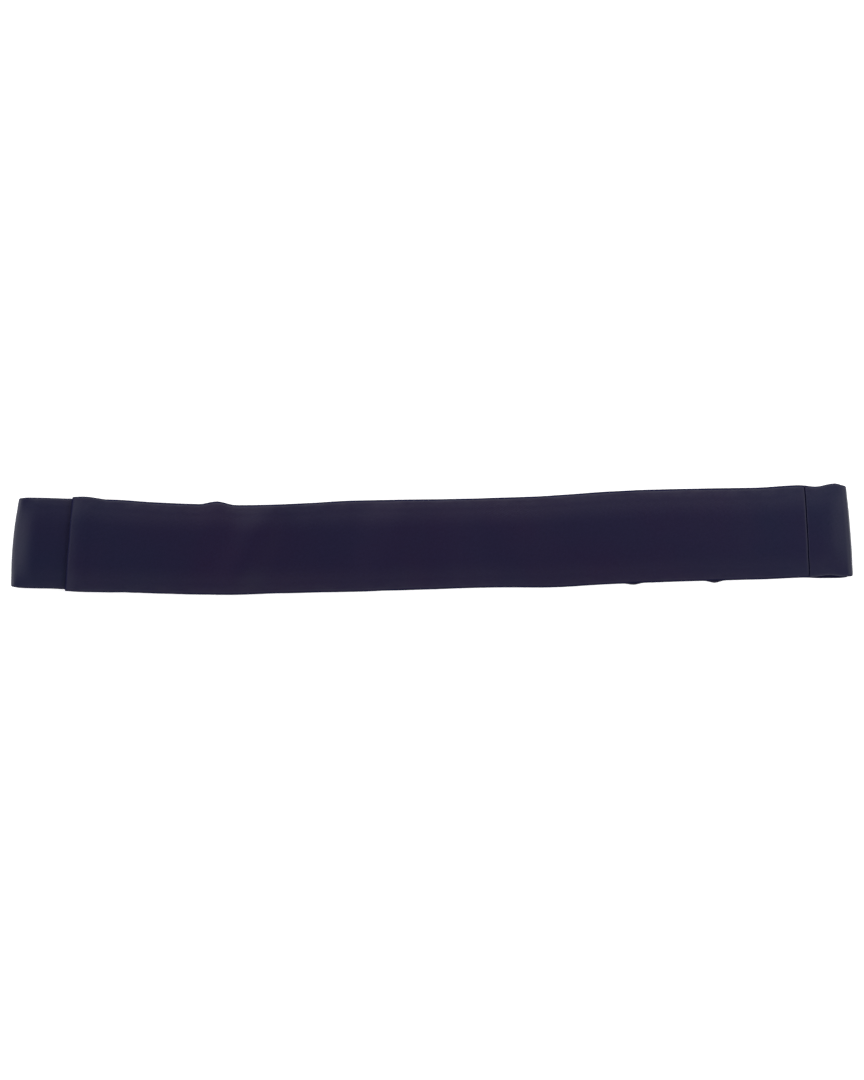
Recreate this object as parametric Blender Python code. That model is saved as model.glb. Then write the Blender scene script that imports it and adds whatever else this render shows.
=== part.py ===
"""A navy cloth cummerbund: a contoured waistband, closed into a loop and lying flat in two layers.

The front panel lies on top. The back panel runs from the sewn seam round the right fold, along
the surface below, round the left fold and under the front panel's left end, where a flat hook
holds the loop shut. X runs along the band, Y across it and Z up. The surface is at Z = 0.
"""

import math

import bmesh
import bpy

# The band: fold to fold at mid height, its height, and the wall of doubled and turned cloth
FLAT_LENGTH = 0.390
BAND_HEIGHT = 0.0425
CLOTH_THICKNESS = 0.0018
EDGE_ROUNDING = 0.0006

# Where the two panels meet, measured from the folds, and how far the tab runs on below the panel
LEFT_WRAP = 0.0254
RIGHT_WRAP = 0.0193
UNDERLAP = 0.033
SEAM_GAP = 0.0003

# Open height inside each fold, and how far the fold lines bow outwards at mid height
LEFT_FOLD_GAP = 0.0058
RIGHT_FOLD_GAP = 0.0047
FOLD_BOW = 0.0009
FOLD_REACH = 0.016

# How the upper layer lies: clear of the layer below, puffed at mid height, and back down to rest
LAYER_CLEARANCE = 0.0004
PUFF = 0.0005
RIGHT_RISE = 0.045
TAB_DESCENT = 0.068
TAB_DESCENT_LEAD = 0.0136

# The hidden hook plate, between the tab and the front panel
HOOK_LENGTH = 0.013
HOOK_WIDTH = 0.010
HOOK_THICKNESS = 0.0010
HOOK_CORNER = 0.0015
HOOK_CLEARANCE = 0.0003
HOOK_SHARE_OF_UNDERLAP = 0.45

# The back layer stays this far inside the upper layer's outline where the front panel covers it
BACK_INSET = 0.0005
INSET_REACH = 0.010

# Outline seen from above. Place is a share of half the flat length, from the left fold at -1 to
# the right fold at 1. Top and bottom are edge places as shares of the band height. Lean is how
# far the top edge lies right of mid height there, and the bottom edge left of it.
OUTLINE = [
    {"place": -1.00, "top": 0.448, "bottom": -0.520, "lean": 0.044},
    {"place": -0.98, "top": 0.459, "bottom": -0.536, "lean": 0.044},
    {"place": -0.90, "top": 0.450, "bottom": -0.547, "lean": 0.042},
    {"place": -0.77, "top": 0.436, "bottom": -0.577, "lean": 0.036},
    {"place": -0.65, "top": 0.403, "bottom": -0.602, "lean": 0.030},
    {"place": -0.48, "top": 0.378, "bottom": -0.614, "lean": 0.022},
    {"place": -0.36, "top": 0.386, "bottom": -0.598, "lean": 0.017},
    {"place": -0.20, "top": 0.425, "bottom": -0.583, "lean": 0.009},
    {"place": 0.00, "top": 0.441, "bottom": -0.553, "lean": 0.000},
    {"place": 0.14, "top": 0.455, "bottom": -0.534, "lean": -0.006},
    {"place": 0.29, "top": 0.482, "bottom": -0.531, "lean": -0.012},
    {"place": 0.43, "top": 0.527, "bottom": -0.496, "lean": -0.016},
    {"place": 0.58, "top": 0.553, "bottom": -0.469, "lean": -0.019},
    {"place": 0.79, "top": 0.571, "bottom": -0.443, "lean": -0.023},
    {"place": 0.89, "top": 0.597, "bottom": -0.425, "lean": -0.025},
    {"place": 0.93, "top": 0.580, "bottom": -0.431, "lean": -0.031},
    {"place": 0.975, "top": 0.615, "bottom": -0.428, "lean": -0.037},
    {"place": 1.00, "top": 0.588, "bottom": -0.412, "lean": -0.038},
]

# Where one layer's edge stands out from the outline, or in where rise is below 0. Side is 1 for
# the top edge and -1 for the bottom edge. Reach is the half width as a share of half the flat
# length, and rise is a share of the band height.
EDGE_BUMPS = [
    {"layer": "front", "side": 1, "place": -0.845, "reach": 0.075, "rise": 0.032},
    {"layer": "front", "side": -1, "place": -0.845, "reach": 0.170, "rise": 0.028},
    {"layer": "floor", "side": 1, "place": -0.520, "reach": 0.045, "rise": 0.042},
    {"layer": "floor", "side": -1, "place": 0.482, "reach": 0.026, "rise": 0.026},
    {"layer": "floor", "side": -1, "place": 0.676, "reach": 0.026, "rise": 0.032},
    {"layer": "wrap", "side": -1, "place": 0.940, "reach": 0.050, "rise": -0.022},
]

# Soft waves along the front panel. Place and reach are as above, and lift is a share of the
# cloth's thickness.
FRONT_WAVES = [
    {"place": -0.20, "reach": 0.13, "lift": 0.30},
    {"place": 0.05, "reach": 0.12, "lift": 0.35},
    {"place": 0.38, "reach": 0.20, "lift": 0.25},
]

# Mesh fineness
ACROSS = 6
FOLD_STEPS = 10
FRONT_SPACING = 0.0075
WRAP_SPACING = 0.0038
FLOOR_SPACING = 0.0120
ROUNDING_SEGMENTS = 2
HOOK_CORNER_SEGMENTS = 4
SHARP_ANGLE = math.radians(50)

# Places that follow from the sizes above
HALF_LENGTH = FLAT_LENGTH / 2
FLOOR_MID = CLOTH_THICKNESS / 2
RESTING_MID = FLOOR_MID + CLOTH_THICKNESS + LAYER_CLEARANCE
TAB_TOP = RESTING_MID + CLOTH_THICKNESS / 2
PANEL_ON_TAB_MID = TAB_TOP + LAYER_CLEARANCE + CLOTH_THICKNESS / 2
PANEL_ON_HOOK_MID = TAB_TOP + 2 * HOOK_CLEARANCE + HOOK_THICKNESS + CLOTH_THICKNESS / 2
LEFT_FOLD_RADIUS = (LEFT_FOLD_GAP + CLOTH_THICKNESS) / 2
RIGHT_FOLD_RADIUS = (RIGHT_FOLD_GAP + CLOTH_THICKNESS) / 2
LEFT_FOLD_X = -HALF_LENGTH + CLOTH_THICKNESS / 2 + LEFT_FOLD_RADIUS
RIGHT_FOLD_X = HALF_LENGTH - CLOTH_THICKNESS / 2 - RIGHT_FOLD_RADIUS
OVERLAP_X = -HALF_LENGTH + LEFT_WRAP
TAB_END_X = OVERLAP_X + UNDERLAP
SEAM_X = HALF_LENGTH - RIGHT_WRAP
HOOK_X = OVERLAP_X + UNDERLAP * HOOK_SHARE_OF_UNDERLAP
HOOK_START_X = HOOK_X - HOOK_LENGTH / 2
HOOK_END_X = HOOK_X + HOOK_LENGTH / 2


def smooth_step(share):
    """0 below 0, 1 above 1, and a level start and end between them."""
    share = min(1.0, max(0.0, share))
    return share * share * (3.0 - 2.0 * share)


def bell(distance, reach):
    """1 in the middle of a bump, falling smoothly to 0 at its reach."""
    return smooth_step(1.0 - abs(distance) / reach)


def read_outline(column, place):
    """One column of the outline at a place, on a smooth curve through its rows."""
    rows = OUTLINE
    place = min(rows[-1]["place"], max(rows[0]["place"], place))
    low = 0
    while low < len(rows) - 2 and rows[low + 1]["place"] < place:
        low += 1
    near = [rows[max(0, low - 1)], rows[low], rows[low + 1], rows[min(len(rows) - 1, low + 2)]]
    at = [row["place"] for row in near]
    value = [row[column] for row in near]
    span = at[2] - at[1]
    slope_in = (value[2] - value[0]) / (at[2] - at[0])
    slope_out = (value[3] - value[1]) / (at[3] - at[1])
    t = (place - at[1]) / span
    return (
        value[1] * (2 * t**3 - 3 * t**2 + 1)
        + slope_in * span * (t**3 - 2 * t**2 + t)
        + value[2] * (3 * t**2 - 2 * t**3)
        + slope_out * span * (t**3 - t**2)
    )


def covered(place):
    """1 where the front panel hides the layer below, 0 at the wraps."""
    x = place * HALF_LENGTH
    return smooth_step((x - OVERLAP_X) / INSET_REACH) * smooth_step((SEAM_X - x) / INSET_REACH)


def edge_y(layer, side, place):
    """Y of a layer's top or bottom edge at a place along the band."""
    y = read_outline("top" if side > 0 else "bottom", place) * BAND_HEIGHT
    for bump in EDGE_BUMPS:
        if bump["layer"] == layer and bump["side"] == side:
            y += side * bump["rise"] * BAND_HEIGHT * bell(place - bump["place"], bump["reach"])
    if layer == "floor":
        y -= side * BACK_INSET * covered(place)
    return y


def fold_distance(x):
    """How far a place lies from the nearer fold's turn."""
    return max(0.0, min(x - LEFT_FOLD_X, RIGHT_FOLD_X - x))


def right_rise_z(x):
    """Mid height of the upper layer where it climbs to the right fold."""
    top = FLOOR_MID + 2 * RIGHT_FOLD_RADIUS
    share = smooth_step((x - RIGHT_FOLD_X + RIGHT_RISE) / RIGHT_RISE)
    return RESTING_MID + (top - RESTING_MID) * share


def left_wrap_z(x):
    """Mid height of the left wrap, down from its fold, and of the tab below the front panel."""
    top = FLOOR_MID + 2 * LEFT_FOLD_RADIUS
    share = smooth_step((x - LEFT_FOLD_X) / (OVERLAP_X - LEFT_FOLD_X))
    return top + (RESTING_MID - top) * share


def front_z(x):
    """Mid height of the front panel: up over the hook, down past the tab, and on to the seam."""
    climb = smooth_step((x - OVERLAP_X) / (HOOK_START_X - OVERLAP_X))
    on_tab = PANEL_ON_TAB_MID + (PANEL_ON_HOOK_MID - PANEL_ON_TAB_MID) * climb
    descent_start = max(HOOK_END_X, TAB_END_X - TAB_DESCENT_LEAD)
    share = smooth_step((x - descent_start) / TAB_DESCENT)
    z = on_tab + (RESTING_MID - on_tab) * share + right_rise_z(x) - RESTING_MID
    for wave in FRONT_WAVES:
        z += wave["lift"] * CLOTH_THICKNESS * bell(x / HALF_LENGTH - wave["place"], wave["reach"])
    return z


def spaced(start, end, spacing, extra=()):
    """Places from start to end, evenly spaced, with the extra ones that lie between them."""
    count = max(2, round(abs(end - start) / spacing))
    places = {start + (end - start) * step / count for step in range(count + 1)}
    inside = {x for x in extra if min(start, end) < x < max(start, end)}
    return sorted(places | inside, reverse=end < start)


def fold_turn(fold_x, radius, start_degrees, end_degrees):
    """Points round a fold, from the top at 90 degrees to the bottom at 270 or -90."""
    points = []
    for step in range(1, FOLD_STEPS):
        angle = math.radians(start_degrees + (end_degrees - start_degrees) * step / FOLD_STEPS)
        x = fold_x + radius * math.cos(angle)
        points.append(("wrap", x, FLOOR_MID + radius + radius * math.sin(angle)))
    return points


def bump_places(layer):
    """X of the middle and both ends of each bump on a layer's edges."""
    places = []
    for bump in EDGE_BUMPS:
        if bump["layer"] == layer:
            for shift in (-0.5, 0.0, 0.5):
                places.append((bump["place"] + shift * bump["reach"]) * HALF_LENGTH)
    return places


def front_route():
    """The front panel's sections, from its free edge to the sewn seam."""
    end = SEAM_X - SEAM_GAP / 2
    places = spaced(OVERLAP_X, end, FRONT_SPACING, (HOOK_START_X, HOOK_END_X))
    return [("front", x, front_z(x)) for x in places]


def back_route():
    """The back panel's sections: seam, right fold, floor, left fold, left wrap and tab."""
    start = SEAM_X + SEAM_GAP / 2
    route = [("wrap", x, right_rise_z(x)) for x in spaced(start, RIGHT_FOLD_X, WRAP_SPACING)]
    route += fold_turn(RIGHT_FOLD_X, RIGHT_FOLD_RADIUS, 90, -90)
    floor = spaced(RIGHT_FOLD_X, LEFT_FOLD_X, FLOOR_SPACING, bump_places("floor"))
    route += [("floor", x, FLOOR_MID) for x in floor]
    route += fold_turn(LEFT_FOLD_X, LEFT_FOLD_RADIUS, 270, 90)
    route += [("wrap", x, left_wrap_z(x)) for x in spaced(LEFT_FOLD_X, TAB_END_X, WRAP_SPACING)]
    return route


def lie(layer, x, z, across):
    """The point of a layer's middle surface at a section, from the bottom edge at -1 to the top at 1."""
    place = x / HALF_LENGTH
    bottom = edge_y(layer, -1, place)
    top = edge_y(layer, 1, place)
    y = bottom + (top - bottom) * (across + 1) / 2
    middle = 1 - across * across
    from_fold = smooth_step(fold_distance(x) / FOLD_REACH)
    bow = math.copysign(FOLD_BOW, x) * middle * (1 - from_fold)
    puff = 0 if layer == "floor" else PUFF * middle * from_fold
    return x + read_outline("lean", place) * BAND_HEIGHT * across + bow, y, z + puff


def make_material(name, colour, roughness, metallic):
    """A Principled material of one colour."""
    material = bpy.data.materials.new(name)
    material.use_nodes = True
    shader = material.node_tree.nodes["Principled BSDF"]
    shader.inputs["Base Color"].default_value = (*colour, 1)
    shader.inputs["Roughness"].default_value = roughness
    shader.inputs["Metallic"].default_value = metallic
    return material


def add_object(name, bm, material):
    """An object of its own for a finished mesh."""
    mesh = bpy.data.meshes.new(name)
    bm.to_mesh(mesh)
    bm.free()
    mesh.materials.append(material)
    item = bpy.data.objects.new(name, mesh)
    bpy.context.collection.objects.link(item)
    return item


def lay_cloth(name, route, material):
    """A strip of cloth along a route of sections, thickened evenly and rounded at its edges."""
    bm = bmesh.new()
    bmesh.ops.create_grid(bm, x_segments=len(route) - 1, y_segments=ACROSS, size=1)
    for vertex in bm.verts:
        section = round((vertex.co.x + 1) / 2 * (len(route) - 1))
        layer, x, z = route[section]
        vertex.co = lie(layer, x, z, vertex.co.y)
    cloth = add_object(name, bm, material)
    wall = cloth.modifiers.new("wall", "SOLIDIFY")
    wall.thickness = CLOTH_THICKNESS
    wall.offset = 0
    wall.use_even_offset = True
    rounding = cloth.modifiers.new("rounding", "BEVEL")
    rounding.width = EDGE_ROUNDING
    rounding.segments = ROUNDING_SEGMENTS
    rounding.limit_method = "ANGLE"
    rounding.angle_limit = SHARP_ANGLE
    cloth.data.shade_smooth()
    cloth.data.set_sharp_from_angle(angle=SHARP_ANGLE)
    return cloth


def make_hook(material):
    """The flat hook plate that holds the overlap shut, one plain piece with round corners."""
    bm = bmesh.new()
    bmesh.ops.create_cube(bm, size=1)
    bmesh.ops.scale(bm, vec=(HOOK_LENGTH, HOOK_WIDTH, HOOK_THICKNESS), verts=bm.verts)
    upright = [edge for edge in bm.edges if edge.verts[0].co.xy == edge.verts[1].co.xy]
    bmesh.ops.bevel(
        bm, geom=upright, offset=HOOK_CORNER, segments=HOOK_CORNER_SEGMENTS, profile=0.5,
        affect="EDGES", material=-1,
    )
    place = HOOK_X / HALF_LENGTH
    y = (edge_y("wrap", 1, place) + edge_y("wrap", -1, place)) / 2
    z = TAB_TOP + PUFF + HOOK_CLEARANCE + HOOK_THICKNESS / 2
    hook = add_object("waist_hook", bm, material)
    hook.location = (HOOK_X, y, z)
    return hook


def main():
    """Clears the scene and builds the cummerbund."""
    for item in list(bpy.data.objects):
        bpy.data.objects.remove(item, do_unlink=True)
    navy_wool = make_material("navy_wool", (0.0150, 0.0152, 0.0360), 0.85, 0.0)
    nickel_steel = make_material("nickel_steel", (0.55, 0.54, 0.52), 0.35, 1.0)
    lay_cloth("front_panel", front_route(), navy_wool)
    lay_cloth("back_panel", back_route(), navy_wool)
    make_hook(nickel_steel)
    bpy.context.view_layer.update()


main()
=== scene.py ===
"""The looks of a navy wool cummerbund, a waistband closed into a loop and lying flat in two layers."""

import math

import bmesh
import bpy
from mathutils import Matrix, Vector, noise


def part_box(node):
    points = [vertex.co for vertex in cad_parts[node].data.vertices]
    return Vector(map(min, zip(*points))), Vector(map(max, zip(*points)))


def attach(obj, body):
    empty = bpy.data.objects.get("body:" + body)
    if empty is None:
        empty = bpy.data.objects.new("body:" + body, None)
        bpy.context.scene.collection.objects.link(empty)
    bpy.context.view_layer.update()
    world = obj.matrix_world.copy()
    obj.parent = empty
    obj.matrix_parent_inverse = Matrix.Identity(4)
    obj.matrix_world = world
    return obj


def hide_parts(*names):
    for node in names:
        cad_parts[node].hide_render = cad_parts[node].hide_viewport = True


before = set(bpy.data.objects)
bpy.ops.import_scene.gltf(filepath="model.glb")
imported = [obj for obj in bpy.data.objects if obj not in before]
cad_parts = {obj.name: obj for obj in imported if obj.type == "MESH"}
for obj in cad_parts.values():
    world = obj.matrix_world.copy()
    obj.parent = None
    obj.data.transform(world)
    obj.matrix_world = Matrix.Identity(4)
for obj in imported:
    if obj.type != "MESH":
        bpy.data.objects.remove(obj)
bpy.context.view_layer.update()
HOOK_START_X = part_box("waist_hook")[0].x

# The photograph: its frame in pixels, the pixel above the model's origin, and millimetres a pixel
PHOTO_WIDTH_PX = 864
PHOTO_HEIGHT_PX = 1080
ORIGIN_PX = (431.6, 539.2)
MM_PER_PX = 0.46807

# The band, in metres: fold to fold, its height, the doubled cloth, and where the two panels meet
FLAT_LENGTH = 0.390
BAND_HEIGHT = 0.0425
CLOTH_THICKNESS = 0.0018
LEFT_WRAP = 0.0254
RIGHT_WRAP = 0.0193
UNDERLAP = 0.033
SEAM_GAP = 0.0003

# The open height inside each fold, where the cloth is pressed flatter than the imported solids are
LEFT_FOLD_GAP = 0.0017
RIGHT_FOLD_GAP = 0.0020

# How many degrees short of level each fold's turn ends, where the upper layer's bulge takes over
LEFT_FOLD_LEAN = 20.0
RIGHT_FOLD_LEAN = 14.0

# How far each fold lies beyond half the flat length, how far its middle bows out beyond its
# corners, and how far in from the fold that bow reaches
LEFT_FOLD_OUT = 0.00025
RIGHT_FOLD_OUT = 0.0009
LEFT_FOLD_BOW = 0.0009
RIGHT_FOLD_BOW = 0.0002
FOLD_REACH = 0.016

# The gap between layers that lie on each other, the flat tab's bulge at mid height, and the length
# of the upper layer's gentle climb to the right fold
LAYER_CLEARANCE = 0.0004
PUFF = 0.0005
RIGHT_RISE = 0.045

# The hook plate below the front panel, and the room above and below it
HOOK_THICKNESS = 0.0010
HOOK_CLEARANCE = 0.0003

# Outline seen from above. Place is a share of half the flat length, from the left fold at -1 to
# the right fold at 1. Top and bottom are edge places as shares of the band height. Lean is such a
# share too: how far the top edge lies right of mid height there, and the bottom edge left of it.
OUTLINE = [
    {"place": -1.00, "top": 0.448, "bottom": -0.520, "lean": 0.044},
    {"place": -0.98, "top": 0.459, "bottom": -0.536, "lean": 0.044},
    {"place": -0.90, "top": 0.450, "bottom": -0.547, "lean": 0.042},
    {"place": -0.77, "top": 0.436, "bottom": -0.577, "lean": 0.036},
    {"place": -0.65, "top": 0.403, "bottom": -0.602, "lean": 0.030},
    {"place": -0.48, "top": 0.378, "bottom": -0.614, "lean": 0.022},
    {"place": -0.36, "top": 0.386, "bottom": -0.598, "lean": 0.017},
    {"place": -0.20, "top": 0.425, "bottom": -0.583, "lean": 0.009},
    {"place": 0.00, "top": 0.441, "bottom": -0.553, "lean": 0.000},
    {"place": 0.14, "top": 0.455, "bottom": -0.534, "lean": -0.006},
    {"place": 0.29, "top": 0.482, "bottom": -0.531, "lean": -0.012},
    {"place": 0.43, "top": 0.527, "bottom": -0.496, "lean": -0.016},
    {"place": 0.58, "top": 0.553, "bottom": -0.469, "lean": -0.019},
    {"place": 0.79, "top": 0.571, "bottom": -0.443, "lean": -0.023},
    {"place": 0.89, "top": 0.597, "bottom": -0.425, "lean": -0.025},
    {"place": 0.93, "top": 0.580, "bottom": -0.431, "lean": -0.031},
    {"place": 0.975, "top": 0.615, "bottom": -0.428, "lean": -0.037},
    {"place": 1.00, "top": 0.588, "bottom": -0.412, "lean": -0.038},
]

# Where one layer's edge stands out from the outline, or in where rise is below 0. Side is 1 for
# the top edge and -1 for the bottom edge. Reach is the half width as a share of half the flat
# length, and rise is a share of the band height.
EDGE_BUMPS = [
    {"layer": "front", "side": 1, "place": -0.845, "reach": 0.075, "rise": 0.032},
    {"layer": "front", "side": -1, "place": -0.845, "reach": 0.170, "rise": 0.028},
    {"layer": "front", "side": 1, "place": -0.520, "reach": 0.045, "rise": 0.036},
    {"layer": "floor", "side": 1, "place": -0.520, "reach": 0.045, "rise": 0.036},
    {"layer": "floor", "side": -1, "place": 0.482, "reach": 0.026, "rise": 0.018},
    {"layer": "floor", "side": -1, "place": 0.676, "reach": 0.026, "rise": 0.024},
    {"layer": "wrap", "side": -1, "place": 0.948, "reach": 0.062, "rise": -0.036},
]

# Soft waves along the front panel. Place and reach are as above, lift is a share of the cloth's
# thickness, and slant is how far the wave's top end lies right of mid height, as a share of the
# band height.
FRONT_WAVES = [
    {"place": -0.435, "reach": 0.080, "lift": 0.40, "slant": 0.22},
    {"place": -0.095, "reach": 0.110, "lift": 0.45, "slant": 0.12},
    {"place": 0.165, "reach": 0.170, "lift": 0.70, "slant": -0.08},
]

# The front panel's way down from the hook: a gentle slope, a steeper one beyond a slanting crease,
# and the landing. Places are along X at mid height, and the slant is how far the crease's top end
# lies right of its middle, for each unit of height. Bends are how far a corner's rounding reaches.
DESCENT_X = -0.146
CREASE_X = -0.0845
LANDING_X = -0.052
CREASE_Z = 0.0054
CREASE_SLANT = 0.45
DESCENT_BEND = 0.015
CREASE_BEND = 0.004
LANDING_BEND = 0.020

# The left wrap lies this much above the resting layer at the overlap and dips beside the front
# panel's edge, and the panel climbs on from its edge over this length
OVERLAP_LIFT = 0.0007
OVERLAP_DIP = 0.00020
OVERLAP_DIP_REACH = 0.0016
END_CLIMB = 0.0055

# The doubled cloth's wall, plain and where it is turned in
PLAIN_WALL = 0.00170
TURNED_WALL = 0.00182

# How wide the cloth is turned in at the long edges, the free ends and the seam, and over what
# length the wall changes there
TURNING = 0.0045
END_TURNING = 0.0090
TURNING_FADE = 0.0018
SEAM_ALLOWANCE = 0.0080
SEAM_FADE = 0.0032

# How far in an edge rolls over, and the share of the wall that is left at its rim
EDGE_ROLL = 0.00095
END_ROLL = 0.00060
RIM_SHARE = 0.10
FRONT_SEAM_ROLL = 0.00085
BACK_SEAM_ROLL = 0.00045
SEAM_RIM_SHARE = 0.50

# How far the pressed band's middle stands above its edges, falling away mostly beside them. It
# grows over its reach from each fold's turn, from nothing at the left one and from a share of
# itself at the right one.
CROWN = 0.0017
CROWN_POWER = 2.7
CROWN_REACH = 0.0085
RIGHT_FOLD_CROWN = 0.55

# The share of the wall that is pressed away at the long edges, and how far in that reaches
EDGE_THINNING = 0.22
THINNING_REACH = 0.0135

# The front panel's long edges lie this far inside the outline, which the back layer keeps to
FRONT_INSET = 0.00035

# How far the painted shade of a crevice reaches: in from the top and bottom edges and from the right
# wrap's bottom edge, out on the layer below an edge and below that wrap, beside the seam, in from
# the front panel's end, and out from that end on the left wrap
TOP_CREVICE = 0.00070
BOTTOM_CREVICE = 0.00080
WRAP_CREVICE = 0.00010
LOWER_LAYER_CREVICE = 0.00045
LOWER_WRAP_CREVICE = 0.00130
SEAM_CREVICE = 0.00024
END_CREVICE = 0.00080
OVERLAP_CREVICE = 0.00090

# The share of a crevice's reach whose painted shade is full, at an edge and on the layer below one
DARK_SHARE = 0.5
LOWER_DARK_SHARE = 0.6

# Small unevenness: the waver of the long edges, the wrinkles and finer crinkles of a soft cloth that
# was pressed flat, which run further across the band than along it, and lumps of turned-in cloth
EDGE_WAVER = 0.00011
EDGE_WAVER_LENGTH = 0.011
WRINKLE = 0.00022
WRINKLE_LENGTH = 0.024
WRINKLE_STRETCH = 1.6
CRINKLE = 0.00006
CRINKLE_LENGTH = 0.0075
CRINKLE_STRETCH = 2.0
LUMP = 0.00012
LUMP_LENGTH = 0.0035

# The waver of the seam and of the front panel's end, and how far beside them the cloth follows it
LINE_WAVER = 0.00028
LINE_WAVER_LENGTH = 0.009
LINE_WAVER_REACH = 0.006

# Where each kind of unevenness is read in the noise, so that no two look alike
EDGE_LANES = {"front": 0.0, "floor": 5.3, "wrap": 9.1}
WRINKLE_LANES = {"front": 3.7, "wrap": 8.2}
CRINKLE_LANE = 4.0
LUMP_LANE = 7.0
SEAM_LANE = 2.5
END_LANE = 5.5
WAVER_LANE = 0.5

# The seam: how far its stitches draw the cloth in, how far apart they are, how deep they lie in the
# groove, and each stitch's thickness and its length as a multiple of that
PUCKER = 0.00007
STITCH_PITCH = 0.0024
STITCH_DEPTH = 0.0002
THREAD_THICKNESS = 0.00024
STITCH_STRETCH = 6.0

# Mesh fineness: rows round a rolled edge, row spacings, steps round a fold, and a stitch's sides
ROLL_ROWS = 5
ROW_SPACING = 0.0009
UPPER_SPACING = 0.0008
FLOOR_SPACING = 0.0014
FOLD_STEPS = 22
STITCH_SIDES = 8
STITCH_RINGS = 6

# Places that follow from the sizes above
HALF_LENGTH = FLAT_LENGTH / 2
FLOOR_MID = CLOTH_THICKNESS / 2
RESTING_MID = FLOOR_MID + CLOTH_THICKNESS + LAYER_CLEARANCE
TAB_TOP = RESTING_MID + CLOTH_THICKNESS / 2
PANEL_ON_TAB_MID = TAB_TOP + LAYER_CLEARANCE + CLOTH_THICKNESS / 2
PANEL_ON_HOOK_MID = TAB_TOP + 2 * HOOK_CLEARANCE + HOOK_THICKNESS + CLOTH_THICKNESS / 2
LEFT_FOLD_RADIUS = (LEFT_FOLD_GAP + CLOTH_THICKNESS) / 2
RIGHT_FOLD_RADIUS = (RIGHT_FOLD_GAP + CLOTH_THICKNESS) / 2
LEFT_FOLD_X = -HALF_LENGTH - LEFT_FOLD_OUT + CLOTH_THICKNESS / 2 + LEFT_FOLD_RADIUS
RIGHT_FOLD_X = HALF_LENGTH + RIGHT_FOLD_OUT - CLOTH_THICKNESS / 2 - RIGHT_FOLD_RADIUS
OVERLAP_X = -HALF_LENGTH + LEFT_WRAP
TAB_END_X = OVERLAP_X + UNDERLAP
SEAM_X = HALF_LENGTH - RIGHT_WRAP
LEFT_PUFF_X = LEFT_FOLD_X - LEFT_FOLD_RADIUS * math.sin(math.radians(LEFT_FOLD_LEAN))
RIGHT_PUFF_X = RIGHT_FOLD_X + RIGHT_FOLD_RADIUS * math.sin(math.radians(RIGHT_FOLD_LEAN))
LEFT_PUFF_MID = FLOOR_MID + LEFT_FOLD_RADIUS * (1 + math.cos(math.radians(LEFT_FOLD_LEAN)))
RIGHT_PUFF_MID = FLOOR_MID + RIGHT_FOLD_RADIUS * (1 + math.cos(math.radians(RIGHT_FOLD_LEAN)))


def smooth_step(share):
    """0 below 0, 1 above 1, and a level start and end between them."""
    share = min(1.0, max(0.0, share))
    return share * share * (3.0 - 2.0 * share)


def bell(distance, reach):
    """1 in the middle of a bump, falling smoothly to 0 at its reach."""
    return smooth_step(1.0 - abs(distance) / reach)


def quick_start(share):
    """0 below 0 and 1 above 1, with a steep start and a level end."""
    return math.sin(math.pi / 2 * min(1.0, max(0.0, share)))


def soft_floor(value, rounding):
    """The value above 0 and 0 below it, with a rounded corner between."""
    return (value + math.hypot(value, rounding)) / 2


def read_outline(column, place):
    """One column of the outline at a place, on a smooth curve through its rows."""
    rows = OUTLINE
    place = min(rows[-1]["place"], max(rows[0]["place"], place))
    low = 0
    while low < len(rows) - 2 and rows[low + 1]["place"] < place:
        low += 1
    near = [rows[max(0, low - 1)], rows[low], rows[low + 1], rows[min(len(rows) - 1, low + 2)]]
    at = [row["place"] for row in near]
    value = [row[column] for row in near]
    span = at[2] - at[1]
    slope_in = (value[2] - value[0]) / (at[2] - at[0])
    slope_out = (value[3] - value[1]) / (at[3] - at[1])
    t = (place - at[1]) / span
    return (
        value[1] * (2 * t**3 - 3 * t**2 + 1)
        + slope_in * span * (t**3 - 2 * t**2 + t)
        + value[2] * (3 * t**2 - 2 * t**3)
        + slope_out * span * (t**3 - t**2)
    )


def edge_y(layer, side, x):
    """Y of a layer's top or bottom edge, with the slight waver of a turned and pressed edge."""
    place = x / HALF_LENGTH
    y = read_outline("top" if side > 0 else "bottom", place) * BAND_HEIGHT
    for bump in EDGE_BUMPS:
        if bump["layer"] == layer and bump["side"] == side:
            y += side * bump["rise"] * BAND_HEIGHT * bell(place - bump["place"], bump["reach"])
    if layer == "front":
        y -= side * FRONT_INSET
    lane = EDGE_LANES[layer] + side
    return y + EDGE_WAVER * noise.noise(Vector((x / EDGE_WAVER_LENGTH, lane, WAVER_LANE)))


def fold_distance(x):
    """How far a place lies from the nearer fold's turn."""
    return max(0.0, min(x - LEFT_PUFF_X, RIGHT_PUFF_X - x))


def right_rise_z(x):
    """Mid height of the upper layer where it climbs to the right fold."""
    share = smooth_step((x - RIGHT_PUFF_X + RIGHT_RISE) / RIGHT_RISE)
    return RESTING_MID + (RIGHT_PUFF_MID - RESTING_MID) * share


def left_wrap_z(x):
    """Mid height of the left wrap, down from its fold, and of the tab below the front panel."""
    share = smooth_step((x - LEFT_PUFF_X) / (OVERLAP_X - LEFT_PUFF_X))
    lift = OVERLAP_LIFT * (1 - smooth_step((x - OVERLAP_X) / (HOOK_START_X - OVERLAP_X)))
    dip = OVERLAP_DIP * bell(x - OVERLAP_X, OVERLAP_DIP_REACH)
    return LEFT_PUFF_MID + (RESTING_MID + lift - LEFT_PUFF_MID) * share - dip


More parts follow.
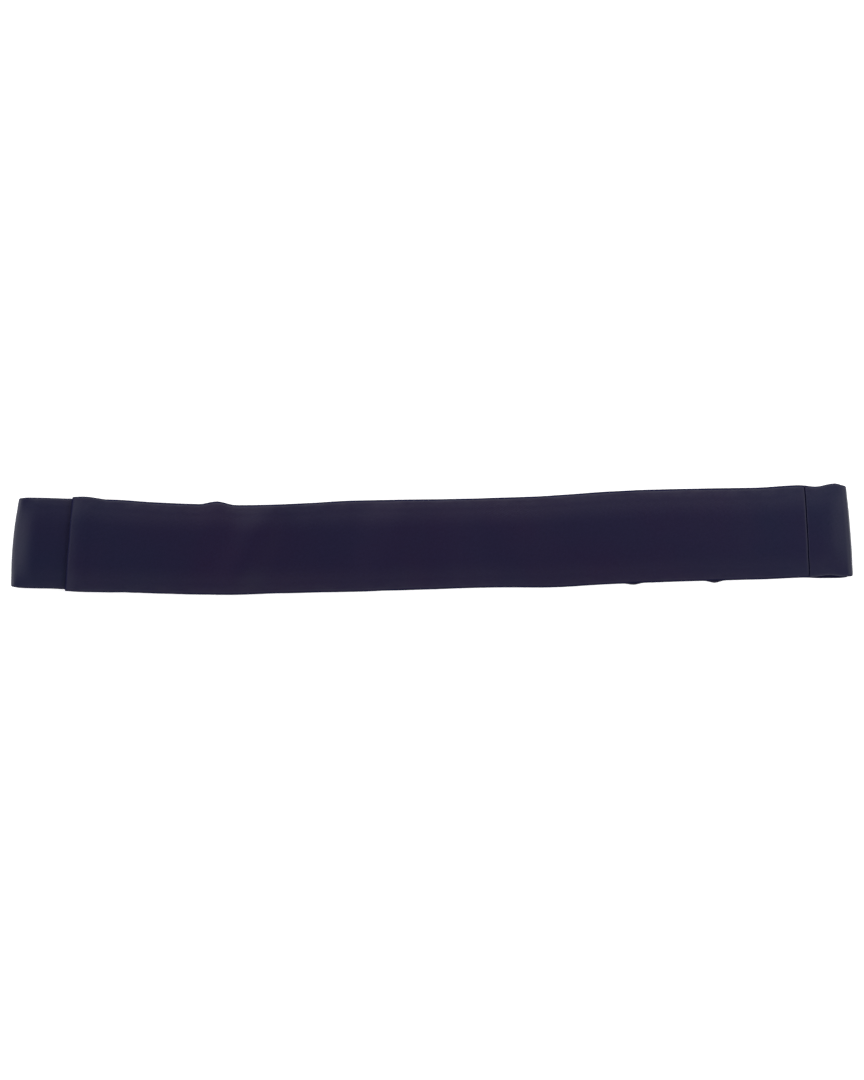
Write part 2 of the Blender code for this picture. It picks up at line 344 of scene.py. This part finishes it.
def front_z(x, across):
    """Mid height of the front panel: over the hook, down past the tab, and on to the seam."""
    climb = quick_start((x - OVERLAP_X) / END_CLIMB)
    edge = PANEL_ON_TAB_MID + OVERLAP_LIFT
    crease = CREASE_X + CREASE_SLANT * BAND_HEIGHT / 2 * across
    first = (PANEL_ON_HOOK_MID - CREASE_Z) / (CREASE_X - DESCENT_X)
    second = (CREASE_Z - RESTING_MID) / (LANDING_X - CREASE_X)
    z = edge + (PANEL_ON_HOOK_MID - edge) * climb + right_rise_z(x) - RESTING_MID
    z -= first * soft_floor(x - DESCENT_X, DESCENT_BEND)
    z -= (second - first) * soft_floor(x - crease, CREASE_BEND)
    z += second * soft_floor(x - LANDING_X - crease + CREASE_X, LANDING_BEND)
    for wave in FRONT_WAVES:
        place = (x - wave["slant"] * BAND_HEIGHT * across) / HALF_LENGTH
        z += wave["lift"] * CLOTH_THICKNESS * bell(place - wave["place"], wave["reach"])
    return z


def rolled_rows(roll, near_end, far_end, spacing):
    """Distances from one rolled edge to a far one: close together round the rolls, then even."""
    turn = [roll * (1 - math.cos(math.pi / 2 * row / ROLL_ROWS)) for row in range(ROLL_ROWS)]
    length = far_end - near_end
    count = max(2, round((length - 2 * roll) / spacing))
    middle = [roll + (length - 2 * roll) * step / count for step in range(count + 1)]
    places = turn + middle + [length - place for place in reversed(turn)]
    return [near_end + place for place in places]


def fold_turn(fold_x, radius, start_degrees, end_degrees):
    """Points round a fold between two angles: 90 degrees is its top, and 270 or -90 its bottom."""
    points = []
    for step in range(1, FOLD_STEPS):
        angle = math.radians(start_degrees + (end_degrees - start_degrees) * step / FOLD_STEPS)
        x = fold_x + radius * math.cos(angle)
        points.append(("wrap", x, FLOOR_MID + radius + radius * math.sin(angle)))
    return points


def front_route():
    """The front panel's sections, from its free edge to the sewn seam: layer, X and height."""
    places = rolled_rows(END_ROLL, OVERLAP_X, SEAM_X - SEAM_GAP / 2, UPPER_SPACING)
    return [("front", x, front_z(x, 0)) for x in places]


def back_route():
    """The back panel's sections: seam, right fold, floor, left fold, left wrap and tab."""
    right = rolled_rows(BACK_SEAM_ROLL, SEAM_X + SEAM_GAP / 2, HALF_LENGTH, UPPER_SPACING)
    right = [x for x in right if x < RIGHT_PUFF_X - UPPER_SPACING / 2] + [RIGHT_PUFF_X]
    left = rolled_rows(END_ROLL, -HALF_LENGTH, TAB_END_X, UPPER_SPACING)
    left = [LEFT_PUFF_X] + [x for x in left if x > LEFT_PUFF_X + UPPER_SPACING / 2]
    way_back = LEFT_FOLD_X - RIGHT_FOLD_X
    count = round(-way_back / FLOOR_SPACING)
    floor = [RIGHT_FOLD_X + way_back * step / count for step in range(count + 1)]
    route = [("wrap", x, right_rise_z(x)) for x in right]
    route += fold_turn(RIGHT_FOLD_X, RIGHT_FOLD_RADIUS, 90 - RIGHT_FOLD_LEAN, -90)
    route += [("floor", x, FLOOR_MID) for x in floor]
    route += fold_turn(LEFT_FOLD_X, LEFT_FOLD_RADIUS, 270, 90 + LEFT_FOLD_LEAN)
    route += [("wrap", x, left_wrap_z(x)) for x in left]
    return route


def lengths_along(route):
    """How far along the cloth each section lies."""
    lengths = [0.0]
    for (_, x0, z0), (_, x1, z1) in zip(route, route[1:]):
        lengths.append(lengths[-1] + math.hypot(x1 - x0, z1 - z0))
    return lengths


def outward(route, index):
    """The side of the cloth that faces out of the loop at a section, as X and Z."""
    _, x0, z0 = route[max(0, index - 1)]
    _, x1, z1 = route[min(len(route) - 1, index + 1)]
    length = math.hypot(x1 - x0, z1 - z0)
    return -(z1 - z0) / length, (x1 - x0) / length


def unevenness(layer, along, y, from_edge):
    """How far a soft, pressed cloth stands off its smooth lie: wrinkles, crinkles and edge lumps."""
    if layer == "floor":
        return 0.0
    lane = WRINKLE_LANES[layer]
    wrinkle_y = y / (WRINKLE_STRETCH * WRINKLE_LENGTH)
    crinkle_y = y / (CRINKLE_STRETCH * CRINKLE_LENGTH)
    broad = noise.noise(Vector((along / WRINKLE_LENGTH, wrinkle_y, lane)))
    fine = noise.noise(Vector((along / CRINKLE_LENGTH, crinkle_y, lane + CRINKLE_LANE)))
    lump = noise.noise(Vector((along / LUMP_LENGTH, y / LUMP_LENGTH, lane + LUMP_LANE)))
    by_edge = 1 - smooth_step(from_edge / TURNING)
    return WRINKLE * (0.5 + 0.5 * broad) + CRINKLE * fine + LUMP * lump * by_edge


def line_waver(layer, x, y):
    """How far the hand-guided seam line and the front panel's end stray from straight."""
    if layer == "floor":
        return 0.0
    by_seam = 1 - smooth_step(abs(x - SEAM_X) / LINE_WAVER_REACH)
    by_end = 1 - smooth_step((x - OVERLAP_X) / LINE_WAVER_REACH) if layer == "front" else 0.0
    lane = SEAM_LANE + (END_LANE - SEAM_LANE) * by_end
    stray = noise.noise(Vector((y / LINE_WAVER_LENGTH, lane, WAVER_LANE)))
    return LINE_WAVER * stray * max(by_seam, by_end)


def seam_pucker(from_seam, y):
    """The slight draw of the seam's stitches on the cloth beside it."""
    ripple = 0.5 + 0.5 * math.cos(2 * math.pi * y / STITCH_PITCH)
    return -PUCKER * ripple * (1 - smooth_step(from_seam / (2 * STITCH_PITCH)))


def roll_share(distance, roll, rim_share):
    """How thick the wall is beside an edge that rolls over, as a share of the full wall."""
    inside = min(1.0, max(0.0, distance / roll))
    return rim_share + (1 - rim_share) * math.sqrt(1 - (1 - inside) ** 2)


def turned_share(distance, width, fade):
    """1 where the cloth is turned in, falling to 0 round the end of the turning."""
    return 1 - smooth_step((distance - width) / fade + 0.5)


def wall_at(from_edge, from_free_end, from_seam, seam_roll):
    """The wall's thickness: thicker where edges are turned in, thin at the rolled rims."""
    turned = max(
        turned_share(from_edge, TURNING, TURNING_FADE),
        turned_share(from_free_end, END_TURNING, TURNING_FADE),
        turned_share(from_seam, SEAM_ALLOWANCE, SEAM_FADE),
    )
    wall = PLAIN_WALL + (TURNED_WALL - PLAIN_WALL) * turned
    wall *= 1 - EDGE_THINNING * (1 - smooth_step(from_edge / THINNING_REACH))
    wall *= roll_share(from_edge, EDGE_ROLL, RIM_SHARE)
    wall *= roll_share(from_free_end, END_ROLL, RIM_SHARE)
    return wall * roll_share(from_seam, seam_roll, SEAM_RIM_SHARE)


def crown_height(layer, x, across):
    """How far the upper layers bulge up between their long edges. The tab for the hook is flatter."""
    if layer == "floor":
        return 0.0
    at_fold = RIGHT_FOLD_CROWN * smooth_step((x - SEAM_X) / (RIGHT_PUFF_X - SEAM_X))
    growth = at_fold + (1 - at_fold) * quick_start(fold_distance(x) / CROWN_REACH)
    full = CROWN * growth * (1 - abs(across) ** CROWN_POWER)
    if layer == "wrap" and OVERLAP_X < x < SEAM_X:
        flat = PUFF * (1 - across * across)
        full += (flat - full) * smooth_step((x - OVERLAP_X) / (HOOK_START_X - OVERLAP_X))
    return full


def edge_sink(layer, x, from_edge):
    """How far the upper layers' thin edges sink, so that no gap opens above the layer below."""
    if layer == "floor" or (layer == "wrap" and x < SEAM_X):
        return 0.0
    return EDGE_THINNING * PLAIN_WALL * (1 - smooth_step(from_edge / THINNING_REACH))


def top_share(x, z):
    """1 on the upper layers, falling to 0 down round either fold."""
    if x < LEFT_FOLD_X:
        return min(1.0, (z - FLOOR_MID) / (LEFT_PUFF_MID - FLOOR_MID))
    if x > RIGHT_FOLD_X:
        return min(1.0, (z - FLOOR_MID) / (RIGHT_PUFF_MID - FLOOR_MID))
    return 1.0


def lie(route, index, along, share):
    """A point of the cloth's middle surface, and its distance from the nearer long edge.

    Share runs from 0 at the bottom edge to 1 at the top edge.
    """
    layer, x, z = route[index]
    place = x / HALF_LENGTH
    bottom = edge_y(layer, -1, x)
    top = edge_y(layer, 1, x)
    across = 2 * share - 1
    y = bottom + (top - bottom) * share
    middle = 1 - across * across
    from_fold = smooth_step(fold_distance(x) / FOLD_REACH)
    bow = (RIGHT_FOLD_BOW if x > 0 else -LEFT_FOLD_BOW) * middle * (1 - from_fold)
    if layer == "front":
        z = front_z(x, across)
    from_edge = (top - bottom) * min(share, 1 - share)
    upper = top_share(x, z)
    crown = (crown_height(layer, x, across) - edge_sink(layer, x, from_edge)) * upper
    side_x, side_z = outward(route, index)
    lift = unevenness(layer, along, y, from_edge) * upper
    if layer != "floor":
        lift += seam_pucker(abs(x - SEAM_X), y)
    lean = read_outline("lean", place) * BAND_HEIGHT * across
    lean += line_waver(layer, x, y)
    return (
        Vector((x + lean + bow + side_x * lift, y, z + crown + side_z * lift)),
        from_edge,
    )


def dark_beside(distance, reach, dark_share):
    """1 where painted shade is full beside an edge, falling to 0 at its reach."""
    return 1 - smooth_step((distance / reach - dark_share) / (1 - dark_share))


def crevice_shade(layer, x, y, share, from_edge, from_seam):
    """How much painted shade a place gets in a crevice beside an edge, the seam or the overlap, 0 to 1.
    """
    side = 1 if share > 0.5 else -1
    by_right_wrap = x > SEAM_X and side < 0
    if layer == "floor":
        cover = "front" if OVERLAP_X < x < SEAM_X else "wrap"
        beyond = side * (y - edge_y(cover, side, x))
        reach = LOWER_WRAP_CREVICE if by_right_wrap else LOWER_LAYER_CREVICE
        return dark_beside(beyond, reach, LOWER_DARK_SHARE)
    reach = TOP_CREVICE if side > 0 else BOTTOM_CREVICE
    if layer == "wrap" and by_right_wrap:
        reach = WRAP_CREVICE
    shade = max(
        dark_beside(from_edge, reach, DARK_SHARE),
        dark_beside(from_seam, SEAM_CREVICE, DARK_SHARE),
    )
    if layer == "front":
        shade = max(shade, dark_beside(x - OVERLAP_X, END_CREVICE, DARK_SHARE))
    if layer == "wrap" and x < SEAM_X:
        shade = max(shade, smooth_step(1 - (OVERLAP_X - x) / OVERLAP_CREVICE))
    return shade


def lay_cloth(name, route, seam_first, material):
    """A strip of doubled cloth along a route, one closed wall with turned and rolled edges.

    Its UV map holds the place on the cut cloth in metres, along the strip and across it, and its
    painted crevice shade attribute how dark a place is painted at an edge.
    """
    rows = [y / BAND_HEIGHT for y in rolled_rows(EDGE_ROLL, 0.0, BAND_HEIGHT, ROW_SPACING)]
    along = lengths_along(route)
    seam_roll = BACK_SEAM_ROLL if seam_first else FRONT_SEAM_ROLL
    bm = bmesh.new()
    bmesh.ops.create_grid(bm, x_segments=len(route) - 1, y_segments=len(rows) - 1, size=1)
    weights = bm.verts.layers.deform.verify()
    # Painted shade: how dark each place is drawn in a crevice beside an edge, the seam or the overlap
    shade = bm.verts.layers.float.new("painted_crevice_shade")
    spots = {}
    for vertex in bm.verts:
        index = round((vertex.co.x + 1) / 2 * (len(route) - 1))
        share = rows[round((vertex.co.y + 1) / 2 * (len(rows) - 1))]
        vertex.co, from_edge = lie(route, index, along[index], share)
        first, last = along[index], along[-1] - along[index]
        from_seam, from_free_end = (first, last) if seam_first else (last, first)
        wall = wall_at(from_edge, from_free_end, from_seam, seam_roll)
        vertex[weights][0] = wall / TURNED_WALL
        layer, x, _ = route[index]
        vertex[shade] = crevice_shade(layer, x, vertex.co.y, share, from_edge, from_seam)
        spots[vertex] = (along[index], share * BAND_HEIGHT)
    weave = bm.loops.layers.uv.new("cloth")
    for face in bm.faces:
        face.smooth = True
        for loop in face.loops:
            loop[weave].uv = spots[loop.vert]
    cloth = add_piece(name, bm, material)
    cloth.vertex_groups.new(name="wall")
    wall = cloth.modifiers.new("wall", "SOLIDIFY")
    wall.thickness = TURNED_WALL
    wall.offset = 0
    wall.vertex_group = "wall"
    return cloth


def add_piece(name, bm, material):
    """An object of its own for a finished mesh, at the origin, with its material."""
    mesh = bpy.data.meshes.new(name)
    bm.to_mesh(mesh)
    bm.free()
    mesh.materials.append(material)
    piece = bpy.data.objects.new(name, mesh)
    bpy.context.collection.objects.link(piece)
    return piece


def sew_seam(material):
    """The seam's stitches, short bars of thread deep in the groove between the two panels."""
    bm = bmesh.new()
    bottom = edge_y("wrap", -1, SEAM_X)
    top = edge_y("wrap", 1, SEAM_X)
    lean = read_outline("lean", SEAM_X / HALF_LENGTH) * BAND_HEIGHT
    count = int((top - bottom - 2 * EDGE_ROLL) / STITCH_PITCH)
    for number in range(count + 1):
        y = (top + bottom) / 2 + (number - count / 2) * STITCH_PITCH
        across = (2 * y - top - bottom) / (top - bottom)
        made = bmesh.ops.create_uvsphere(
            bm, u_segments=STITCH_SIDES, v_segments=STITCH_RINGS, radius=THREAD_THICKNESS / 2)
        bmesh.ops.scale(bm, vec=(STITCH_STRETCH, 1.0, 1.0), verts=made["verts"])
        z = front_z(SEAM_X, across) + crown_height("front", SEAM_X, across) - STITCH_DEPTH
        z -= edge_sink("front", SEAM_X, min(y - bottom, top - y))
        x = SEAM_X + lean * across + line_waver("front", SEAM_X, y)
        bmesh.ops.translate(bm, vec=(x, y, z), verts=made["verts"])
    for face in bm.faces:
        face.smooth = True
    return add_piece("seam_stitches", bm, material)


def linear(hex_colour):
    """A linear colour with alpha from an sRGB hex value."""
    shares = [int(hex_colour[i:i + 2], 16) / 255 for i in (1, 3, 5)]
    return [c / 12.92 if c <= 0.04045 else ((c + 0.055) / 1.055) ** 2.4 for c in shares] + [1.0]


def add(tree, kind, settings=None, links=None):
    """Adds a node: settings are attributes or input values by name or number, links are inputs."""
    node = tree.nodes.new(kind)
    for key, value in (settings or {}).items():
        if isinstance(key, int) or key in node.inputs:
            node.inputs[key].default_value = value
        else:
            setattr(node, key, value)
    for key, socket in (links or {}).items():
        tree.links.new(socket, node.inputs[key])
    return node


def new_material(name):
    """An empty node material, its tree and its Principled shader."""
    material = bpy.data.materials.new(name)
    material.use_nodes = True
    tree = material.node_tree
    return material, tree, tree.nodes["Principled BSDF"]


# Real sizes of the wool cloth's pattern, in metres, and the slant of its weave, in degrees
THREAD_SPACING = 0.00045
THREAD_DEPTH = 0.00003
GRAIN_SIZE = 0.0013
GRAIN_DEPTH = 0.00010
CLOUD_SIZE = 0.045
CLOUD_OFFSET = (0.81, 0.54, 0.0)
WEAVE_SLANT = 58.0

# The two dyes of the cloud pattern, how much of the bluer one the clouds bring, and how much more
# of it there is towards both ends, between these distances from the middle
PLUM_DYE = "#180f29"
BLUE_DYE = "#11142b"
CLOUD_BLUE = 0.5
END_BLUE = 0.6
END_BLUE_START = 0.10
END_BLUE_FULL = 0.19

# The grain's lighter flecks, and the painted shade of a crevice
FLECK = "#1b1832"
FLECK_SHARE = 0.35
PAINTED_CREVICE_SHADE_COLOUR = "#0b0b29"

# How shiny and rough the open cloth and the cloth in a crevice's painted shade are
CLOTH_GLOSS = 0.225
CREVICE_GLOSS = 0.10
CLOTH_ROUGHNESS = 0.36
CREVICE_ROUGHNESS = 0.95


def woven_wool():
    """Navy worsted wool crepe, piece dyed and pressed.

    A matte cloth with the soft shine of pressing: a fine diagonal weave, a pebbly crepe grain
    drawn about three threads wide because the threads alone are finer than the render's pixels,
    and a faint lighter nap at its rolled edges. Crevices get painted shade: darker, duller cloth.
    """
    material, tree, shader = new_material("navy_wool_crepe")
    spot = add(tree, "ShaderNodeUVMap", {"uv_map": "cloth"}).outputs["UV"]
    slant = (0, 0, math.radians(WEAVE_SLANT))
    twill_spot = add(tree, "ShaderNodeMapping", {"Rotation": slant}, {"Vector": spot})
    twill = add(tree, "ShaderNodeTexWave", {
        "wave_type": "BANDS", "bands_direction": "X", "wave_profile": "SIN",
        "Scale": 0.5 / THREAD_SPACING / math.pi, "Distortion": 1.2, "Detail": 2.0, "Detail Scale": 2.0,
    }, {"Vector": twill_spot.outputs["Vector"]})
    grain = add(tree, "ShaderNodeTexNoise", {
        "Scale": 1 / GRAIN_SIZE, "Detail": 3.0, "Roughness": 0.6,
    }, {"Vector": spot})
    cloud_spot = add(tree, "ShaderNodeMapping", {"Location": CLOUD_OFFSET}, {"Vector": spot})
    cloud = add(tree, "ShaderNodeTexNoise", {
        "Scale": 1 / CLOUD_SIZE, "Detail": 3.0, "Roughness": 0.55,
    }, {"Vector": cloud_spot.outputs["Vector"]})
    drift = add(tree, "ShaderNodeMapRange", {"From Min": 0.35, "From Max": 0.65},
                {"Value": cloud.outputs["Fac"]})
    place = add(tree, "ShaderNodeTexCoord").outputs["Object"]
    along = add(tree, "ShaderNodeSeparateXYZ", links={"Vector": place}).outputs["X"]
    middle = add(tree, "ShaderNodeMath", {"operation": "ABSOLUTE"}, {0: along})
    ends = add(tree, "ShaderNodeMapRange", {
        "From Min": END_BLUE_START, "From Max": END_BLUE_FULL, "To Max": END_BLUE,
    }, {"Value": middle.outputs[0]})
    hue = add(tree, "ShaderNodeMath", {"operation": "MULTIPLY_ADD", 1: CLOUD_BLUE},
              {0: drift.outputs["Result"], 2: ends.outputs["Result"]})
    dye = add(tree, "ShaderNodeMix", {
        "data_type": "RGBA", 6: linear(PLUM_DYE), 7: linear(BLUE_DYE),
    }, {"Factor": hue.outputs[0]})
    peaks = add(tree, "ShaderNodeMapRange", {"From Min": 0.3, "From Max": 0.7},
                {"Value": grain.outputs["Fac"]})
    fleck = add(tree, "ShaderNodeMath", {"operation": "MULTIPLY", 1: FLECK_SHARE},
                {0: peaks.outputs["Result"]})
    tone = add(tree, "ShaderNodeMix", {"data_type": "RGBA", 7: linear(FLECK)},
               {6: dye.outputs[2], "Factor": fleck.outputs[0]})
    # The painted crevice shade darkens the cloth and dulls its shine beside edges, the seam and the
    # overlap
    painted_crevice_shade = add(tree, "ShaderNodeAttribute", {"attribute_name": "painted_crevice_shade"}).outputs["Fac"]
    shaded = add(tree, "ShaderNodeMix", {"data_type": "RGBA", 7: linear(PAINTED_CREVICE_SHADE_COLOUR)},
                 {6: tone.outputs[2], "Factor": painted_crevice_shade})
    tree.links.new(shaded.outputs[2], shader.inputs["Base Color"])
    rough = add(tree, "ShaderNodeMapRange", {"To Min": CLOTH_ROUGHNESS, "To Max": CREVICE_ROUGHNESS},
                {"Value": painted_crevice_shade})
    tree.links.new(rough.outputs["Result"], shader.inputs["Roughness"])
    gloss = add(tree, "ShaderNodeMapRange", {"To Min": CLOTH_GLOSS, "To Max": CREVICE_GLOSS},
                {"Value": painted_crevice_shade})
    tree.links.new(gloss.outputs["Result"], shader.inputs["Specular IOR Level"])
    weave_bump = add(tree, "ShaderNodeBump", {"Strength": 0.4, "Distance": THREAD_DEPTH},
                     {"Height": twill.outputs["Fac"]})
    grain_bump = add(tree, "ShaderNodeBump", {"Strength": 0.3, "Distance": GRAIN_DEPTH},
                     {"Height": grain.outputs["Fac"], "Normal": weave_bump.outputs["Normal"]})
    tree.links.new(grain_bump.outputs["Normal"], shader.inputs["Normal"])
    shader.inputs["Sheen Weight"].default_value = 0.03
    shader.inputs["Sheen Roughness"].default_value = 0.45
    shader.inputs["Sheen Tint"].default_value = linear("#7a78a8")
    return material


# How deep the twist of the sewing thread is, in metres
PLY_DEPTH = 0.00004


def sewing_thread():
    """Navy polyester sewing thread, twisted: darker than the wool, and dull in its groove."""
    material, tree, shader = new_material("navy_sewing_thread")
    spot = add(tree, "ShaderNodeTexCoord").outputs["Object"]
    ply = add(tree, "ShaderNodeTexWave", {
        "bands_direction": "DIAGONAL", "Scale": 0.5 / THREAD_THICKNESS / math.pi, "Distortion": 0.5,
    }, {"Vector": spot})
    tone = add(tree, "ShaderNodeMix", {"data_type": "RGBA", 6: linear("#0c0b18"), 7: linear("#151427")},
               {"Factor": ply.outputs["Fac"]})
    tree.links.new(tone.outputs[2], shader.inputs["Base Color"])
    bump = add(tree, "ShaderNodeBump", {"Strength": 0.4, "Distance": PLY_DEPTH},
               {"Height": ply.outputs["Fac"]})
    tree.links.new(bump.outputs["Normal"], shader.inputs["Normal"])
    shader.inputs["Roughness"].default_value = 0.6
    shader.inputs["Specular IOR Level"].default_value = 0.25
    return material


# The hook plate's scratches from tumbling: their length and depth in metres, and how many times
# shorter they are in each direction, so that they run along X
SCRATCH_LENGTH = 1 / 1500
SCRATCH_DEPTH = 0.00002
SCRATCH_SQUEEZE = (1.0, 8.0, 1.0)


def stamped_steel():
    """Nickel-plated steel, stamped and tumbled: satin, with fine random scratches."""
    material, tree, shader = new_material("nickel_plated_steel")
    spot = add(tree, "ShaderNodeTexCoord").outputs["Object"]
    squeezed = add(tree, "ShaderNodeMapping", {"Scale": SCRATCH_SQUEEZE}, {"Vector": spot})
    scratch = add(tree, "ShaderNodeTexNoise", {"Scale": 1 / SCRATCH_LENGTH, "Detail": 4.0},
                  {"Vector": squeezed.outputs["Vector"]})
    tone = add(tree, "ShaderNodeMix", {"data_type": "RGBA", 6: linear("#b9b6b0"), 7: linear("#d2d0cb")},
               {"Factor": scratch.outputs["Fac"]})
    tree.links.new(tone.outputs[2], shader.inputs["Base Color"])
    rough = add(tree, "ShaderNodeMapRange", {"To Min": 0.28, "To Max": 0.45},
                {"Value": scratch.outputs["Fac"]})
    tree.links.new(rough.outputs["Result"], shader.inputs["Roughness"])
    bump = add(tree, "ShaderNodeBump", {"Strength": 0.15, "Distance": SCRATCH_DEPTH},
               {"Height": scratch.outputs["Fac"]})
    tree.links.new(bump.outputs["Normal"], shader.inputs["Normal"])
    shader.inputs["Metallic"].default_value = 1.0
    return material


# The surface: half its width, how far it lies below the band so that the two don't meet in one
# plane, its fine tooth, and its light from below, which leaves no shadow beside the band
SURFACE_REACH = 6.0
SURFACE_DROP = 0.00003
TOOTH_SIZE = 1 / 900
SURFACE_GLOW = 0.5


def pale_surface():
    """Opal acrylic sheet, matte and lit from below: an even near-white with no shine."""
    material, tree, shader = new_material("opal_acrylic")
    spot = add(tree, "ShaderNodeTexCoord").outputs["Object"]
    tooth = add(tree, "ShaderNodeTexNoise", {"Scale": 1 / TOOTH_SIZE, "Detail": 2.0},
                {"Vector": spot})
    tone = add(tree, "ShaderNodeMix", {"data_type": "RGBA", 6: linear("#f4f4f4"), 7: linear("#fafafa")},
               {"Factor": tooth.outputs["Fac"]})
    tree.links.new(tone.outputs[2], shader.inputs["Base Color"])
    shader.inputs["Roughness"].default_value = 0.9
    shader.inputs["Specular IOR Level"].default_value = 0.1
    shader.inputs["Emission Color"].default_value = linear("#ffffff")
    shader.inputs["Emission Strength"].default_value = SURFACE_GLOW
    return material


def lay_floor():
    """A wide plain surface just below the band's underside."""
    bm = bmesh.new()
    bmesh.ops.create_grid(bm, x_segments=1, y_segments=1, size=SURFACE_REACH)
    bmesh.ops.translate(bm, vec=(0, 0, -SURFACE_DROP), verts=bm.verts)
    floor = add_piece("floor", bm, pale_surface())


# The studio: a light tent with bright walls and a dark ceiling. Wall top and ceiling start are
# heights on a sphere of radius 1, and brighter side is how much more light comes from there.
WALL_BRIGHTNESS = 1.35
CEILING_BRIGHTNESS = 0.0
WALL_TOP = 0.77
CEILING_START = 0.96
BRIGHTER_SIDE = (-0.45, 0.12, 0.0)

# Soft boxes beyond the top edge and both ends: size and distance in metres, azimuth in degrees from
# the photo's right side, elevation in degrees above the surface, and power in watts
SOFT_BOXES = [
    {"name": "top_box", "size": 0.9, "distance": 1.5, "azimuth": 90, "elevation": 35, "power": 6},
    {"name": "left_box", "size": 0.9, "distance": 1.1, "azimuth": 178, "elevation": 18, "power": 2},
    {"name": "right_box", "size": 0.4, "distance": 0.5, "azimuth": 5, "elevation": 35, "power": 0.58},
]


def add_soft_box(name, size, distance, azimuth, elevation, power):
    """A square soft light that faces the band."""
    light = bpy.data.lights.new(name, "AREA")
    light.shape = "SQUARE"
    light.size = size
    light.energy = power
    lamp = bpy.data.objects.new(name, light)
    turn, rise = math.radians(azimuth), math.radians(elevation)
    way = Vector((math.cos(turn) * math.cos(rise), math.sin(turn) * math.cos(rise), math.sin(rise)))
    lamp.location = way * distance
    lamp.rotation_mode = "QUATERNION"
    lamp.rotation_quaternion = way.to_track_quat("Z", "Y")
    bpy.context.collection.objects.link(lamp)


def light_studio():
    """Plain soft studio light: a light tent and the soft boxes."""
    world = bpy.data.worlds.new("studio")
    bpy.context.scene.world = world
    world.use_nodes = True
    tree = world.node_tree
    background = tree.nodes["Background"]
    background.inputs["Color"].default_value = (1, 1, 1, 1)
    way = add(tree, "ShaderNodeTexCoord").outputs["Generated"]
    height = add(tree, "ShaderNodeSeparateXYZ", links={"Vector": way}).outputs["Z"]
    fade = add(tree, "ShaderNodeMapRange", {
        "interpolation_type": "SMOOTHSTEP",
        "From Min": WALL_TOP, "From Max": CEILING_START, "To Min": 1.0, "To Max": CEILING_BRIGHTNESS,
    }, {"Value": height})
    side = add(tree, "ShaderNodeVectorMath", {"operation": "DOT_PRODUCT", 1: BRIGHTER_SIDE},
               {0: way})
    walls = add(tree, "ShaderNodeMath", {
        "operation": "MULTIPLY_ADD", 1: WALL_BRIGHTNESS, 2: WALL_BRIGHTNESS,
    }, {0: side.outputs["Value"]})
    strength = add(tree, "ShaderNodeMath", {"operation": "MULTIPLY"},
                   {0: walls.outputs[0], 1: fade.outputs["Result"]})
    tree.links.new(strength.outputs[0], background.inputs["Strength"])
    for box in SOFT_BOXES:
        add_soft_box(**box)
    bpy.context.scene.view_settings.view_transform = "Standard"


# A long lens, as for a flat lay, at the height where the band's upper layer has the photo's scale
LENS_MM = 135.0
SENSOR_MM = 36.0
SCALE_HEIGHT = 0.004


def place_camera():
    """Looks straight down on the band, with the photograph's centre and scale."""
    camera = bpy.data.cameras.new("camera")
    camera.lens = LENS_MM
    camera.sensor_width = SENSOR_MM
    camera.clip_start = 0.05
    camera.clip_end = 50.0
    view = bpy.data.objects.new("camera", camera)
    bpy.context.collection.objects.link(view)
    bpy.context.scene.camera = view
    metres_per_px = MM_PER_PX / 1000
    x = (PHOTO_WIDTH_PX / 2 - ORIGIN_PX[0]) * metres_per_px
    y = (ORIGIN_PX[1] - PHOTO_HEIGHT_PX / 2) * metres_per_px
    height = PHOTO_HEIGHT_PX * metres_per_px * LENS_MM / SENSOR_MM
    view.location = (x, y, height + SCALE_HEIGHT)


def plate_hook(material):
    """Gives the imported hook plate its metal."""
    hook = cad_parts["waist_hook"]
    hook.data.materials.clear()
    hook.data.materials.append(material)


def main():
    """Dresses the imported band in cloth, thread and steel, and sets the studio round it."""
    wool = woven_wool()
    front = lay_cloth("front_panel_cloth", front_route(), False, wool)
    back = lay_cloth("back_panel_cloth", back_route(), True, wool)
    stitches = sew_seam(sewing_thread())
    for piece, node in ((front, "front_panel"), (back, "back_panel")):
        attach(piece, "root")
        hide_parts(node)
    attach(stitches, "root")
    front_length = lengths_along(front_route())[-1]
    back_length = lengths_along(back_route())[-1]
    plate_hook(stamped_steel())
    lay_floor()
    light_studio()
    place_camera()


main()
